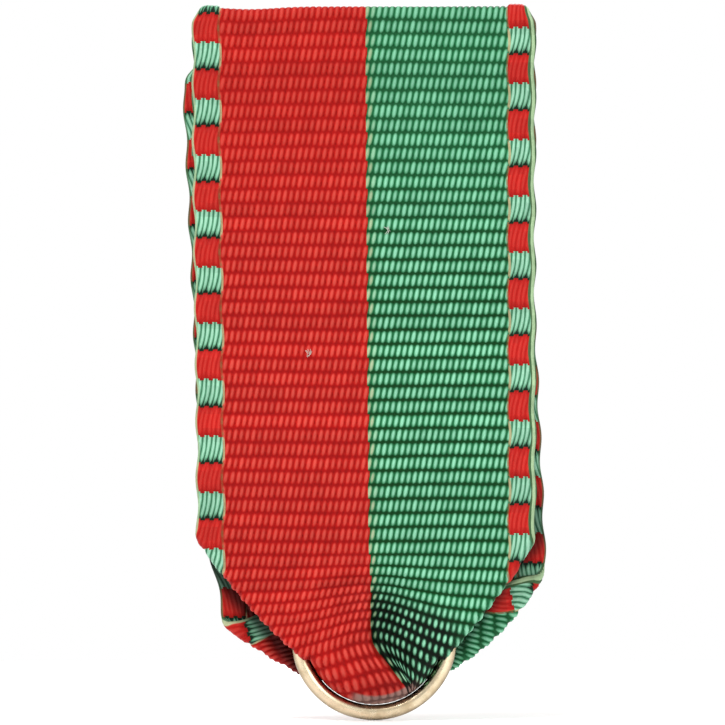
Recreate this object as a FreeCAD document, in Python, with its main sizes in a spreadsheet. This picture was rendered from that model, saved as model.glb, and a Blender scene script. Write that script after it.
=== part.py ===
import FreeCAD, Part
import os
import Sketcher

# A service medal's ribbon drape: a woven ribbon folded over at the top, with both lower corners
# tucked in between its two legs so that it passes through a split wire ring, and a pin brooch
# sewn on behind.
#
# Millimetres. X runs to the right as the front is seen, Z up, and the front faces -Y. The origin
# is the middle of the brooch bar's back face, which lies against the coat.

SIZES = {
    # woven ribbon
    "ribbon_width": 16.0,
    "ribbon_ply": 0.30,
    "ply_gap": 0.06,
    "top_rise": 4.5,
    "hem_reach": 7.0,
    "cut_end_drop": 2.6,
    "shoulder_drop": 8.0,
    "knee_rise": 5.55,
    "front_corner_rise": 4.25,
    "back_corner_rise_left": 0.75,
    "back_corner_rise_right": 3.65,
    "back_lean": 2.5,
    "back_pivot_drop": 14.3,
    # split ring and the throat of ribbon it holds
    "ring_drop": 29.55,
    "ring_offset": 0.47,
    "ring_radius": 3.54,
    "ring_wire": 0.72,
    "ring_split": 0.8,
    "ring_play": 0.10,
    "throat_play": 0.13,
    "throat_angle": 62.0,
    "tuck_angle": 33.0,
    # brooch bar
    "bar_length": 14.0,
    "bar_height": 2.6,
    "bar_thickness": 0.40,
    "sewing_hole": 0.50,
    "sewing_hole_inset": 1.0,
    "sewing_hole_spread": 1.1,
    # needle and its hinge
    "needle_diameter": 0.60,
    "needle_waist": 0.44,
    "needle_reach": 9.7,
    "needle_point": 0.8,
    "eye_diameter": 1.30,
    "eye_margin": 0.02,
    "hinge_inset": 3.1,
    "ear_width": 1.50,
    "ear_thickness": 0.35,
    "bracket_floor": 0.25,
    "rivet_diameter": 0.45,
    "rivet_head": 0.84,
    "rivet_head_height": 0.14,
    "hinge_clearance": 0.04,
    "side_clearance": 0.05,
    # turning catch
    "catch_inset": 2.6,
    "catch_length": 1.50,
    "catch_wall": 0.26,
    "catch_foot": 1.20,
    "catch_lift": 0.03,
    "collar_wall": 0.35,
    "collar_clearance": 0.05,
    "needle_clearance": 0.06,
    "mouth_clearance": 0.08,
    "tab_height": 0.63,
    "tab_width": 0.44,
    "tab_thickness": 0.36,
    "tab_clearance": 0.08,
}

doc = FreeCAD.newDocument("ServiceMedalRibbon")
sheet = doc.addObject("Spreadsheet::Sheet", "Sizes")
for row, (alias, size) in enumerate(SIZES.items(), start=1):
    sheet.set(f"A{row}", alias)
    sheet.set(f"B{row}", str(size))
    sheet.setAlias(f"B{row}", alias)
doc.recompute()


def size(name):
    """The expression that reads one cell of the sheet."""
    return f"Sizes.{name}"


def number(expression):
    """What an expression comes to now, in millimetres or degrees."""
    found = sheet.evalExpression(expression.replace("Sizes.", ""))
    return float(getattr(found, "Value", found))


def new_body(name, x="0", y="0", z="0", turn=None):
    """An empty body at a place bound to the sheet, turned about Y if an angle is given."""
    body = doc.addObject("PartDesign::Body", name)
    if turn:
        body.Placement.Rotation = FreeCAD.Rotation(FreeCAD.Vector(0, 1, 0), 1)
        body.setExpression("Placement.Rotation.Angle", turn)
    for axis, expression in zip("xyz", (x, y, z)):
        body.setExpression(f"Placement.Base.{axis}", expression)
    return body


def origin_feature(body, role):
    return next(f for f in body.Origin.OriginFeatures if f.Role == role)


def new_sketch(body, plane):
    sketch = body.newObject("Sketcher::SketchObject", f"{body.Name}Sketch")
    sketch.AttachmentSupport = (origin_feature(body, plane), [""])
    sketch.MapMode = "FlatFace"
    return sketch


def bind(sketch, kind, *references, to):
    """A dimension of a sketch, bound to an expression."""
    index = sketch.addConstraint(Sketcher.Constraint(kind, *references, number(to)))
    sketch.setExpression(f"Constraints[{index}]", to)


def add_outline(sketch, corners, arcs=None):
    """A closed outline through corners, each a pair of expressions.

    arcs gives the edges that are round, by the corner they start at, as (centre, side): side is 1
    for an edge that bulges to the right of its direction and -1 for one that bulges left.
    """
    arcs = arcs or {}
    first = sketch.GeometryCount
    count = len(corners)
    places = [FreeCAD.Vector(number(a), number(b), 0) for a, b in corners]
    ends = []
    for i, start in enumerate(places):
        end = places[(i + 1) % count]
        if i in arcs:
            (across, up), side = arcs[i]
            centre = FreeCAD.Vector(number(across), number(up), 0)
            chord = end - start
            outward = FreeCAD.Vector(chord.y, -chord.x, 0).normalize() * side
            middle = centre + outward * (start - centre).Length
            sketch.addGeometry(Part.Arc(start, middle, end), False)
            ends.append((1, 2) if side > 0 else (2, 1))
        else:
            sketch.addGeometry(Part.LineSegment(start, end), False)
            ends.append((1, 2))
    for i in range(count):
        after = (i + 1) % count
        meeting = (first + i, ends[i][1], first + after, ends[after][0])
        sketch.addConstraint(Sketcher.Constraint("Coincident", *meeting))
    for i, (across, up) in enumerate(corners):
        bind(sketch, "DistanceX", -1, 1, first + i, ends[i][0], to=across)
        bind(sketch, "DistanceY", -1, 1, first + i, ends[i][0], to=up)
    for i, (centre, side) in arcs.items():
        chord = places[(i + 1) % count] - places[i]
        if abs(chord.x) > abs(chord.y):
            bind(sketch, "DistanceY", -1, 1, first + i, 3, to=centre[1])
        else:
            bind(sketch, "DistanceX", -1, 1, first + i, 3, to=centre[0])


def add_circle(sketch, diameter, across="0", up="0"):
    centre = FreeCAD.Vector(number(across), number(up), 0)
    circle = Part.Circle(centre, FreeCAD.Vector(0, 0, 1), number(diameter) / 2)
    index = sketch.addGeometry(circle, False)
    bind(sketch, "DistanceX", -1, 1, index, 3, to=across)
    bind(sketch, "DistanceY", -1, 1, index, 3, to=up)
    bind(sketch, "Diameter", index, to=diameter)


def pad(body, sketch, length, both_ways=True):
    feature = body.newObject("PartDesign::Pad", f"{body.Name}Pad")
    feature.Profile = sketch
    feature.SideType = "Symmetric" if both_ways else "One side"
    feature.setExpression("Length", length)
    return feature


def pocket(body, sketch, length):
    """A cut of this length, half to each side of the sketch."""
    feature = body.newObject("PartDesign::Pocket", f"{body.Name}Pocket")
    feature.Profile = sketch
    feature.SideType = "Symmetric"
    feature.setExpression("Length", length)
    return feature


def revolve(body, sketch, axis, angle="360"):
    feature = body.newObject("PartDesign::Revolution", f"{body.Name}Revolution")
    feature.Profile = sketch
    feature.ReferenceAxis = (origin_feature(body, axis), [""])
    feature.Midplane = True
    feature.setExpression("Angle", angle)
    return feature


# Heights and depths that several pieces share
W = size("ribbon_width")
PLY = size("ribbon_ply")
GAP = size("ply_gap")
BAR = size("bar_thickness")
TOP = size("top_rise")
HEM_END = f"{TOP} - {size('hem_reach')}"
CUT_END = f"{TOP} - {size('cut_end_drop')}"
SHOULDER = f"{TOP} - {size('shoulder_drop')}"

# Plies about the ring's plane, counted from it: the wire's slot, a flap, a gap, a leg
SLOT = f"({size('ring_wire')} / 2 + {size('ring_play')})"
LEG_INSIDE = f"({SLOT} + {PLY} + {GAP})"
LEG_OUTSIDE = f"({LEG_INSIDE} + {PLY})"
FLAP_MIDDLE = f"({SLOT} + {PLY} / 2)"
BEND_MIDDLE = f"({SLOT} + {PLY} + {GAP} / 2)"
RING_X = size("ring_offset")
RING_Y = f"-{LEG_OUTSIDE}"
RING_Z = f"({TOP} - {size('ring_drop')})"
KNEE = f"({RING_Z} + {size('knee_rise')})"

# The throat, where the ribbon lies in the ring
GRIP = f"({size('ring_radius')} - {size('ring_wire')} / 2 - {size('throat_play')})"
TURN_RADIUS = f"({GRIP} - {LEG_OUTSIDE})"


def about_ring(radius, angle, side, up):
    """A point at a radius from the ring's centre, angle degrees off the vertical."""
    return (
        f"({RING_X} + ({side}) * {radius} * sin({angle}))",
        f"({RING_Z} + ({up}) * {radius} * cos({angle}))",
    )


def back_shift(z):
    """How far the leaning back leg has moved to the right at a height."""
    pivot = f"({TOP} - {size('back_pivot_drop')})"
    return f"({pivot} - ({z})) * tan({size('back_lean')})"


def side_corners(leg):
    """Where a leg's left and right edges end and its lower corners are folded in."""
    if leg == "front":
        z = f"({RING_Z} + {size('front_corner_rise')})"
        return {-1: (f"-{W} / 2", z), 1: (f"{W} / 2", z)}
    corners = {}
    for side, word in ((-1, "left"), (1, "right")):
        z = f"({RING_Z} + {size('back_corner_rise_' + word)})"
        corners[side] = (f"{side} * {W} / 2 + {back_shift(z)}", z)
    return corners


THROAT = {s: about_ring(GRIP, size("throat_angle"), s, -1) for s in (-1, 1)}
TURN_END = {s: about_ring(TURN_RADIUS, size("throat_angle"), s, -1) for s in (-1, 1)}
TUCK_TOP = {s: about_ring(GRIP, size("tuck_angle"), s, 1) for s in (-1, 1)}


def leg_outline(name, top_corners, corners):
    """The shape a leg shows from the front, as a prism that its bent sheet is trimmed by."""
    body = new_body(name, y=RING_Y)
    sketch = new_sketch(body, "XZ_Plane")
    left_top, right_top = top_corners
    lower = [corners[1], THROAT[1], TURN_END[1], TURN_END[-1], THROAT[-1], corners[-1]]
    add_outline(sketch, [left_top, right_top] + lower, arcs={4: ((RING_X, RING_Z), -1)})
    pad(body, sketch, f"4 * {LEG_OUTSIDE}")
    return body


def bent_sheet(name, side_corners_yz, arcs=None):
    """A length of ribbon seen from the side, drawn out to more than its width."""
    body = new_body(name)
    sketch = new_sketch(body, "YZ_Plane")
    add_outline(sketch, side_corners_yz, arcs)
    pad(body, sketch, f"2 * {W}")
    return body


def common(name, first, second):
    feature = doc.addObject("Part::MultiCommon", name)
    feature.Shapes = [first, second]
    return feature


def front_leg():
    """The front leg with the fold at its top and the hem that hangs behind it."""
    back_face = f"-{BAR}"
    hem_back = f"({back_face} - {PLY} - {GAP})"
    hem_front = f"({hem_back} - {PLY})"
    leg_back = f"({hem_front} - {GAP})"
    leg_front = f"({leg_back} - {PLY})"
    bend = f"({TOP} - {PLY} - {GAP} / 2)"
    floor = f"({RING_Z} - {GRIP} - {PLY})"
    side = [
        (f"{RING_Y} - {LEG_OUTSIDE}", floor),
        (f"{RING_Y} - {LEG_OUTSIDE}", KNEE),
        (leg_front, SHOULDER),
        (leg_front, bend),
        (hem_back, bend),
        (hem_back, HEM_END),
        (hem_front, HEM_END),
        (hem_front, bend),
        (leg_back, bend),
        (leg_back, SHOULDER),
        (f"{RING_Y} - {LEG_INSIDE}", KNEE),
        (f"{RING_Y} - {LEG_INSIDE}", floor),
    ]
    fold_centre = (f"({leg_back} + {GAP} / 2)", bend)
    arcs = {3: (fold_centre, -1), 7: (fold_centre, 1)}
    sheet_body = bent_sheet("FrontSheet", side, arcs)
    above = f"{TOP} + {PLY}"
    tops = ((f"-{W} / 2", above), (f"{W} / 2", above))
    outline = leg_outline("FrontOutline", tops, side_corners("front"))
    return common("FrontLeg", sheet_body, outline)


def back_leg():
    """The back leg, up to its cut end under the brooch, leaning as it was sewn."""
    outer = f"-{BAR}"
    inner = f"({outer} - {PLY})"
    floor = f"({RING_Z} - {GRIP} - {PLY})"
    side = [
        (f"{RING_Y} + {LEG_OUTSIDE}", floor),
        (f"{RING_Y} + {LEG_OUTSIDE}", KNEE),
        (outer, SHOULDER),
        (outer, CUT_END),
        (inner, CUT_END),
        (inner, SHOULDER),
        (f"{RING_Y} + {LEG_INSIDE}", KNEE),
        (f"{RING_Y} + {LEG_INSIDE}", floor),
    ]
    sheet_body = bent_sheet("BackSheet", side)
    above = f"({CUT_END} + {PLY})"
    tops = tuple((f"{s} * {W} / 2 + {back_shift(above)}", above) for s in (-1, 1))
    outline = leg_outline("BackOutline", tops, side_corners("back"))
    return common("BackLeg", sheet_body, outline)


def turn_through_ring():
    """The gutter of ribbon that lies along the ring's lower inside and joins the two legs."""
    body = new_body("Turn", RING_X, RING_Y, RING_Z)
    sketch = new_sketch(body, "YZ_Plane")
    edge = f"-{TURN_RADIUS}"
    corners = [
        (f"-{LEG_OUTSIDE}", edge),
        (LEG_OUTSIDE, edge),
        (LEG_INSIDE, edge),
        (f"-{LEG_INSIDE}", edge),
    ]
    add_outline(sketch, corners, arcs={0: (("0", edge), 1), 2: (("0", edge), -1)})
    revolve(body, sketch, "Y_Axis", f"2 * {size('throat_angle')}")
    return body


def rolled_edge(name, foot, head, y, inner_radius, bulge):
    """Half a tube of ribbon from foot to head, which joins two plies that lie one over the other.

    bulge is 1 if its round side faces right as seen looking from foot to head, and -1 if left.
    """
    (x0, z0), (x1, z1) = foot, head
    body = new_body(name, x0, y, z0, turn=f"atan2({x1} - {x0}; {z1} - {z0})")
    sketch = new_sketch(body, "XY_Plane")
    outer = f"({inner_radius} + {PLY})"
    corners = [("0", f"-{outer}"), ("0", outer), ("0", inner_radius), ("0", f"-{inner_radius}")]
    middle = ("0", "0")
    add_outline(sketch, corners, arcs={0: (middle, bulge), 2: (middle, -bulge)})
    pad(body, sketch, f"sqrt(({x1} - {x0})^2 + ({z1} - {z0})^2)", both_ways=False)
    return body


def flap(name, corner, side, y):
    """A lower corner of the strip, folded inside: a triangle from the leg's edge to the tuck."""
    body = new_body(name, y=y)
    sketch = new_sketch(body, "XZ_Plane")
    add_outline(sketch, [corner, THROAT[side], TUCK_TOP[side]])
    pad(body, sketch, PLY)
    return body


def tucked_corners():
    """Both corners of both legs, folded in, and the tucks that join them past the ring."""
    pieces = []
    for side, hand in ((-1, "Left"), (1, "Right")):
        for leg, depth in (("front", -1), ("back", 1)):
            name = leg.capitalize() + hand
            corner = side_corners(leg)[side]
            flap_y = f"{RING_Y} + ({depth}) * {FLAP_MIDDLE}"
            bend_y = f"{RING_Y} + ({depth}) * {BEND_MIDDLE}"
            pieces.append(flap(f"{name}Flap", corner, side, flap_y))
            fold = (THROAT[side], corner, bend_y, f"({GAP} / 2)", side)
            pieces.append(rolled_edge(f"{name}Fold", *fold))
        tuck = (THROAT[side], TUCK_TOP[side], RING_Y, SLOT, -side)
        pieces.append(rolled_edge(f"{hand}Tuck", *tuck))
    return pieces


def ribbon():
    """The whole folded strip as one solid."""
    feature = doc.addObject("Part::MultiFuse", "Ribbon")
    feature.Shapes = [front_leg(), back_leg(), turn_through_ring()] + tucked_corners()
    feature.Refine = True
    return feature


def suspension_ring():
    """Round wire bent to a ring, its butt joint turned up behind the ribbon."""
    body = new_body("SuspensionRing", RING_X, RING_Y, RING_Z)
    sketch = new_sketch(body, "YZ_Plane")
    add_circle(sketch, size("ring_wire"), up=f"-{size('ring_radius')}")
    revolve(body, sketch, "Y_Axis", f"360 - {size('ring_split')}")
    return body


def brooch_bar():
    """A flat bar with round ends, and a pair of sewing holes near each end."""
    body = new_body("BroochBar")
    sketch = new_sketch(body, "XZ_Plane")
    half = f"({size('bar_height')} / 2)"
    straight = f"({size('bar_length')} / 2 - {half})"
    corners = [
        (f"-{straight}", f"-{half}"),
        (straight, f"-{half}"),
        (straight, half),
        (f"-{straight}", half),
    ]
    ends = {1: ((straight, "0"), 1), 3: ((f"-{straight}", "0"), 1)}
    add_outline(sketch, corners, ends)
    pad(body, sketch, BAR, both_ways=False)
    holes = new_sketch(body, "XZ_Plane")
    across = f"({size('bar_length')} / 2 - {size('sewing_hole_inset')})"
    up = f"({size('sewing_hole_spread')} / 2)"
    for x in (f"-{across}", across):
        for z in (f"-{up}", up):
            add_circle(holes, size("sewing_hole"), x, z)
    pocket(body, holes, f"4 * {BAR}")
    return body


# The catch, from the needle outwards: the collar's bore, the collar, the housing
COLLAR_BORE = f"({size('needle_diameter')} + 2 * {size('needle_clearance')})"
COLLAR_OUTSIDE = f"({COLLAR_BORE} + 2 * {size('collar_wall')})"
HOUSING_BORE = f"({COLLAR_OUTSIDE} + 2 * {size('collar_clearance')})"
HOUSING_OUTSIDE = f"({HOUSING_BORE} + 2 * {size('catch_wall')})"
MOUTH = f"({size('needle_diameter')} + 2 * {size('mouth_clearance')})"

# The needle's axis behind the bar, and what stands on it
HINGE_X = f"({size('bar_length')} / 2 - {size('hinge_inset')})"
CATCH_X = f"(-{size('bar_length')} / 2 + {size('catch_inset')})"
NEEDLE_Y = f"({HOUSING_OUTSIDE} / 2 + {size('catch_lift')})"
EYE_THICKNESS = f"({size('needle_diameter')} + 2 * {size('eye_margin')})"
SLOT_WIDTH = f"({EYE_THICKNESS} + 2 * {size('side_clearance')})"
BRACKET_HEIGHT = f"({SLOT_WIDTH} + 2 * {size('ear_thickness')})"


def hinge_bracket():
    """Two round-topped ears on a floor, soldered to the bar."""
    body = new_body("HingeBracket", HINGE_X, NEEDLE_Y)
    sketch = new_sketch(body, "XY_Plane")
    half = f"({size('ear_width')} / 2)"
    foot = f"-{NEEDLE_Y}"
    corners = [(f"-{half}", foot), (half, foot), (half, "0"), (f"-{half}", "0")]
    add_outline(sketch, corners, arcs={2: (("0", "0"), 1)})
    pad(body, sketch, BRACKET_HEIGHT)
    between = new_sketch(body, "XY_Plane")
    floor = f"({size('bracket_floor')} - {NEEDLE_Y})"
    wide = size("ear_width")
    add_outline(between, [(f"-{wide}", floor), (wide, floor), (wide, wide), (f"-{wide}", wide)])
    pocket(body, between, SLOT_WIDTH)
    hole = new_sketch(body, "XY_Plane")
    add_circle(hole, size("rivet_diameter"))
    pocket(body, hole, f"2 * {BRACKET_HEIGHT}")
    return body


def hinge_rivet():
    """A headed rivet through both ears, which the needle turns on."""
    body = new_body("HingeRivet", HINGE_X, NEEDLE_Y)
    sketch = new_sketch(body, "XZ_Plane")
    shank = f"({size('rivet_diameter')} / 2)"
    head = f"({size('rivet_head')} / 2)"
    under = f"({BRACKET_HEIGHT} / 2)"
    over = f"({under} + {size('rivet_head_height')})"
    corners = [
        ("0", f"-{over}"),
        (shank, f"-{over}"),
        (head, f"-{under}"),
        (shank, f"-{under}"),
        (shank, under),
        (head, under),
        (shank, over),
        ("0", over),
    ]
    add_outline(sketch, corners)
    revolve(body, sketch, "Z_Axis")
    return body


def pin_needle():
    """A steel needle: its eye on the rivet, a straight shaft, a waist in the catch, a point."""
    body = new_body("PinNeedle", HINGE_X, NEEDLE_Y)
    eye = new_sketch(body, "XY_Plane")
    add_circle(eye, size("eye_diameter"))
    pad(body, eye, EYE_THICKNESS)
    profile = new_sketch(body, "XY_Plane")
    thick = f"({size('needle_diameter')} / 2)"
    waist = f"({size('needle_waist')} / 2)"
    root = f"-{size('rivet_diameter')}"
    mouth = f"({CATCH_X} - {HINGE_X} + {size('catch_length')} * 0.6)"
    neck = f"(-{size('needle_reach')} + {size('needle_point')})"
    tip = f"-{size('needle_reach')}"
    corners = [(tip, "0"), (root, "0"), (root, thick), (mouth, thick), (neck, waist)]
    add_outline(profile, corners)
    revolve(body, profile, "X_Axis")
    bore = new_sketch(body, "XY_Plane")
    add_circle(bore, f"{size('rivet_diameter')} + 2 * {size('hinge_clearance')}")
    pocket(body, bore, f"2 * {EYE_THICKNESS}")
    return body


def catch_housing():
    """A split barrel on a foot, open at the back, with a window that the collar's tab moves in."""
    body = new_body("CatchHousing", CATCH_X, NEEDLE_Y)
    barrel = new_sketch(body, "YZ_Plane")
    add_circle(barrel, HOUSING_OUTSIDE)
    pad(body, barrel, size("catch_length"))
    foot = new_sketch(body, "YZ_Plane")
    half = f"({size('catch_foot')} / 2)"
    base = f"-{NEEDLE_Y}"
    add_outline(foot, [(base, f"-{half}"), ("0", f"-{half}"), ("0", half), (base, half)])
    pad(body, foot, size("catch_length"))
    bed = new_sketch(body, "YZ_Plane")
    add_circle(bed, HOUSING_BORE)
    pocket(body, bed, f"2 * {size('catch_length')}")
    far = HOUSING_OUTSIDE
    mouth = new_sketch(body, "YZ_Plane")
    lip = f"(({MOUTH} + {size('tab_clearance')}) / 2)"
    add_outline(mouth, [("0", f"-{lip}"), (far, f"-{lip}"), (far, lip), ("0", lip)])
    pocket(body, mouth, f"2 * {size('catch_length')}")
    window = new_sketch(body, "YZ_Plane")
    behind = f"-({size('tab_thickness')} / 2 + {size('tab_clearance')})"
    add_outline(window, [(behind, "0"), (far, "0"), (far, far), (behind, far)])
    pocket(body, window, f"{size('tab_width')} + 2 * {size('tab_clearance')}")
    return body


def catch_collar():
    """The turning lock: a slotted sleeve round the needle, with a tab to turn it by."""
    body = new_body("CatchCollar", CATCH_X, NEEDLE_Y)
    sleeve = new_sketch(body, "YZ_Plane")
    add_circle(sleeve, COLLAR_OUTSIDE)
    pad(body, sleeve, size("catch_length"))
    tab = new_sketch(body, "YZ_Plane")
    half = f"({size('tab_thickness')} / 2)"
    reach = f"({HOUSING_OUTSIDE} / 2 + {size('tab_height')})"
    add_outline(tab, [(f"-{half}", "0"), (half, "0"), (half, reach), (f"-{half}", reach)])
    pad(body, tab, size("tab_width"))
    bore = new_sketch(body, "YZ_Plane")
    add_circle(bore, COLLAR_BORE)
    pocket(body, bore, f"2 * {size('catch_length')}")
    slot = new_sketch(body, "YZ_Plane")
    lip = f"({MOUTH} / 2)"
    far = HOUSING_OUTSIDE
    add_outline(slot, [("0", f"-{lip}"), (far, f"-{lip}"), (far, lip), ("0", lip)])
    pocket(body, slot, f"2 * {size('catch_length')}")
    return body


SUBPARTS = {
    "ribbon": ribbon,
    "suspension_ring": suspension_ring,
    "brooch_bar": brooch_bar,
    "hinge_bracket": hinge_bracket,
    "hinge_rivet": hinge_rivet,
    "pin_needle": pin_needle,
    "catch_housing": catch_housing,
    "catch_collar": catch_collar,
}

built = {}
for label, make in SUBPARTS.items():
    built[label] = make()
    built[label].Label = label
doc.recompute()

for item in doc.Objects:
    if "Invalid" in item.State or "Error" in item.State:
        raise RuntimeError(f"{item.Label} failed: {item.State}")
for label, item in built.items():
    shape = item.Shape
    if shape.isNull() or not shape.isValid() or not shape.Solids:
        raise RuntimeError(f"{label} has no valid solid")

os.makedirs("parts", exist_ok=True)
for label, item in built.items():
    item.Shape.exportStep(os.path.join("parts", f"{label}.step"))
    box = item.Shape.BoundBox
    spans = f"{box.XLength:.2f} x {box.YLength:.2f} x {box.ZLength:.2f}"
    print(f"{label}: {len(item.Shape.Solids)} solid, {item.Shape.Volume:.3f} mm3, {spans}")
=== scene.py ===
import math

import bpy
import numpy as np
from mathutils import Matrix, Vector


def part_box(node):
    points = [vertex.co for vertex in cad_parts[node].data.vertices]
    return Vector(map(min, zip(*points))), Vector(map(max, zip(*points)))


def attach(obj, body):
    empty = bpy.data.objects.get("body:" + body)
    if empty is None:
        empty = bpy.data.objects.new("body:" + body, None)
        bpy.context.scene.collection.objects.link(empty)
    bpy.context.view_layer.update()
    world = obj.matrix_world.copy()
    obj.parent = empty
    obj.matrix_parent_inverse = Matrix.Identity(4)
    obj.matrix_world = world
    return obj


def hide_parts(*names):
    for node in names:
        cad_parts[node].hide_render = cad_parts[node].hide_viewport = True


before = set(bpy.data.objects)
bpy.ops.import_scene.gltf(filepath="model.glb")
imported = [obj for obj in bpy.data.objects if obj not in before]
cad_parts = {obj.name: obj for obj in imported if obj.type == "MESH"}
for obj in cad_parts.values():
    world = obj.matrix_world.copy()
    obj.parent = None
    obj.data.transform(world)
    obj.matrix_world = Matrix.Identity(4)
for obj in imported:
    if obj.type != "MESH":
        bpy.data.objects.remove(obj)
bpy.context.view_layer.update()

# A service medal's ribbon drape. The woven strip is made here thread by thread, in strip
# coordinates: u runs across it and v along it, from the hem over the top fold, down the front
# leg and up the back leg. Everything below is in millimetres; MM turns it into the frame's metres.
MM = 0.001


def made(name, data):
    """A new object in the scene, for a mesh, a lamp or a camera."""
    piece = bpy.data.objects.new(name, data)
    bpy.context.scene.collection.objects.link(piece)
    return piece


# ---------------------------------------------------------------- camera

VIEW_ACROSS = -0.07      # the middle of the view, in the frame
VIEW_UP = -12.22
VIEW_WIDE = 33.82        # how much of the ribbon's plane the picture takes in
VIEW_FAR = 450.0
RIBBON_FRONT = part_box("ribbon")[0].y / MM

camera = made("camera", bpy.data.cameras.new("camera"))
camera.location = (VIEW_ACROSS * MM, (RIBBON_FRONT - VIEW_FAR) * MM, VIEW_UP * MM)
camera.rotation_euler = (math.pi / 2, 0, 0)
camera.data.sensor_width = 36.0
camera.data.lens = camera.data.sensor_width * VIEW_FAR / VIEW_WIDE
camera.data.clip_start = 0.02
camera.data.clip_end = 5.0
bpy.context.scene.camera = camera

# ---------------------------------------------------------------- sizes

ring_low, ring_high = (np.array(corner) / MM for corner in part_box("suspension_ring"))

WIDTH = 16.0
PLY = 0.30
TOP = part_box("ribbon")[1].z / MM
HEM_LENGTH = 7.0         # how much is turned down behind the top fold
CUT_END = 1.9            # how high the back leg's cut end lies

WIRE = ring_high[1] - ring_low[1]
RING_X = (ring_low[0] + ring_high[0]) / 2
RING_Y = (ring_low[1] + ring_high[1]) / 2
RING_Z = (ring_low[2] + ring_high[2]) / 2
RING_RADIUS = (ring_high[2] - ring_low[2] - WIRE) / 2

TOP_BEND = 0.18          # middle radius of the fold at the top
SIDE_BEND = 0.18         # and of the slanting folds
LEG_OFF = 0.97           # a leg's middle, from the ring's plane
TUCK_BEND = LEG_OFF - 2 * SIDE_BEND  # and of the folded sides' tucks at the ring
GRIP = 3.004             # the turn's middle at its lowest, from the ring's centre
GUTTER = GRIP - LEG_OFF  # where a leg begins to turn there
TUCK_ANGLE = math.radians(33)  # how far from straight above the ring's centre the tucks end
PRESSED = 0.158          # where the cloth is pressed on the ring, from its middle to its surface
FRONT_TOP_Y = -1.27      # where the legs' middles lie at the top
BACK_TOP_Y = -0.55
BACK_LEAN = math.radians(2.5)
BACK_PIVOT = -9.8        # the height that the leaning back leg turns about


def throat(angle):
    """Where the slanting folds of a leg run out into the ring, on either side."""
    return {s: (RING_X + s * (GRIP + PLY / 2) * math.sin(angle),
                RING_Z - (GRIP + PLY / 2) * math.cos(angle)) for s in (-1, 1)}


TUCK_TOP = throat(math.pi - TUCK_ANGLE)

# the weave
RIB = 0.658              # from one weft to the next
PAIR = 0.286             # from one float to the next in a rib
LEAN = -0.19             # how far a float leans for its length
FLOAT_REACH = 0.60       # half a float's length, in ribs
FLOAT_HALF = 0.47        # half its width, in pairs
CHECK = 4 * RIB          # a red check and the green one after it
RED_SHARE = 0.52         # of the two
BAND = 6.76              # where the checked edge starts, from the middle
STRAND = 0.215           # one long float of a check
STRAND_HALF = 0.56       # half its width, in strands
SWELL = 5                # how squarely it ends
STAGGER = 0.032          # its ends lie a little before or behind its neighbours'
SCALLOP = 0.065          # how far the checks sway to either side
COLOUR_EDGE = 0.10       # where red meets green
CHECK_START = {-1: 0.32, 1: 2.25}  # where a red check starts, left and right
BACK_PHASE = 1.8         # the weave's place on the back leg
FIELD_RELIEF = (0.035, 0.150)  # a gap's height over the cloth's middle, and a float's over that
BAND_RELIEF = (0.030, 0.165)
RIM = 0.22               # the strip thins out this far from its own edges
COLUMNS = 336            # the mesh's, across the strip
ROWS_IN_RIB = 5          # and along it
SEAM_SUNK = (0.008, 0.06)  # how deep the two rows past a seam lie under the next length


def smooth(x, low, high):
    """0 up to low and 1 from high on, with a soft step between."""
    t = np.clip((x - low) / (high - low), 0.0, 1.0)
    return t * t * (3.0 - 2.0 * t)


def ripple(a, b, seed, scale):
    """Soft waves over the cloth, from -1 to 1."""
    chance = np.random.default_rng(seed)
    total = 0.0
    for _ in range(6):
        turn, phase = chance.uniform(0, math.pi), chance.uniform(0, 2 * math.pi)
        pace = chance.uniform(0.7, 1.6) / scale
        total = total + np.sin((a * math.cos(turn) + b * math.sin(turn)) * pace + phase)
    return total / 6


# ---------------------------------------------------------------- the weave's relief

def wander(u, v):
    """Where a point lies in a perfectly even weave: real threads wander a little."""
    even_u = u + 0.030 * ripple(u, v, 1, 1.6) + 0.014 * ripple(u, v, 2, 0.30)
    even_v = v + 0.060 * ripple(u, v, 3, 2.6) + 0.022 * ripple(u, v, 4, 0.35)
    return even_u, even_v


def field_height(u, v, parity):
    """Floats of neighbouring ribs lie between one another, each a small leaning lozenge."""
    rib = np.floor(v / RIB)
    along = v / RIB - rib - 0.5
    height = np.zeros_like(u)
    for step in (-1, 0, 1):
        b = along - step
        a = (u - LEAN * b * RIB) / PAIR + 0.5 * np.mod(rib + step + parity, 2)
        a = a - np.floor(a) - 0.5
        across = np.sqrt(np.clip(1 - (a / FLOAT_HALF) ** 2, 0, 1))
        height = np.maximum(height, across * np.clip(1 - (b / FLOAT_REACH) ** 2, 0, 1))
    return height


def band_height(u, v, swap):
    """The checked edges: long floats of one colour, then of the other."""
    start = np.where(u < 0, CHECK_START[-1], CHECK_START[1])
    stagger = (np.mod(np.floor((np.abs(u) - BAND) / STRAND), 2) - 0.5) * STAGGER
    share = np.mod((v - start) / CHECK + stagger + swap * 0.5, 1.0)
    red = share < RED_SHARE
    along = np.where(red, share / RED_SHARE, (share - RED_SHARE) / (1 - RED_SHARE)) * 2 - 1
    strand = (np.abs(u) - BAND - np.sign(u) * LEAN * along * RIB) / STRAND
    a = strand - np.floor(strand) - 0.5
    round_it = np.sqrt(np.clip(1 - (a / STRAND_HALF) ** 2, 0, 1))
    swell = np.sqrt(np.clip(1 - np.abs(along) ** SWELL, 0, 1))
    return (0.70 + 0.30 * round_it) * swell * np.where(red, 1.12, 0.95)


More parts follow.
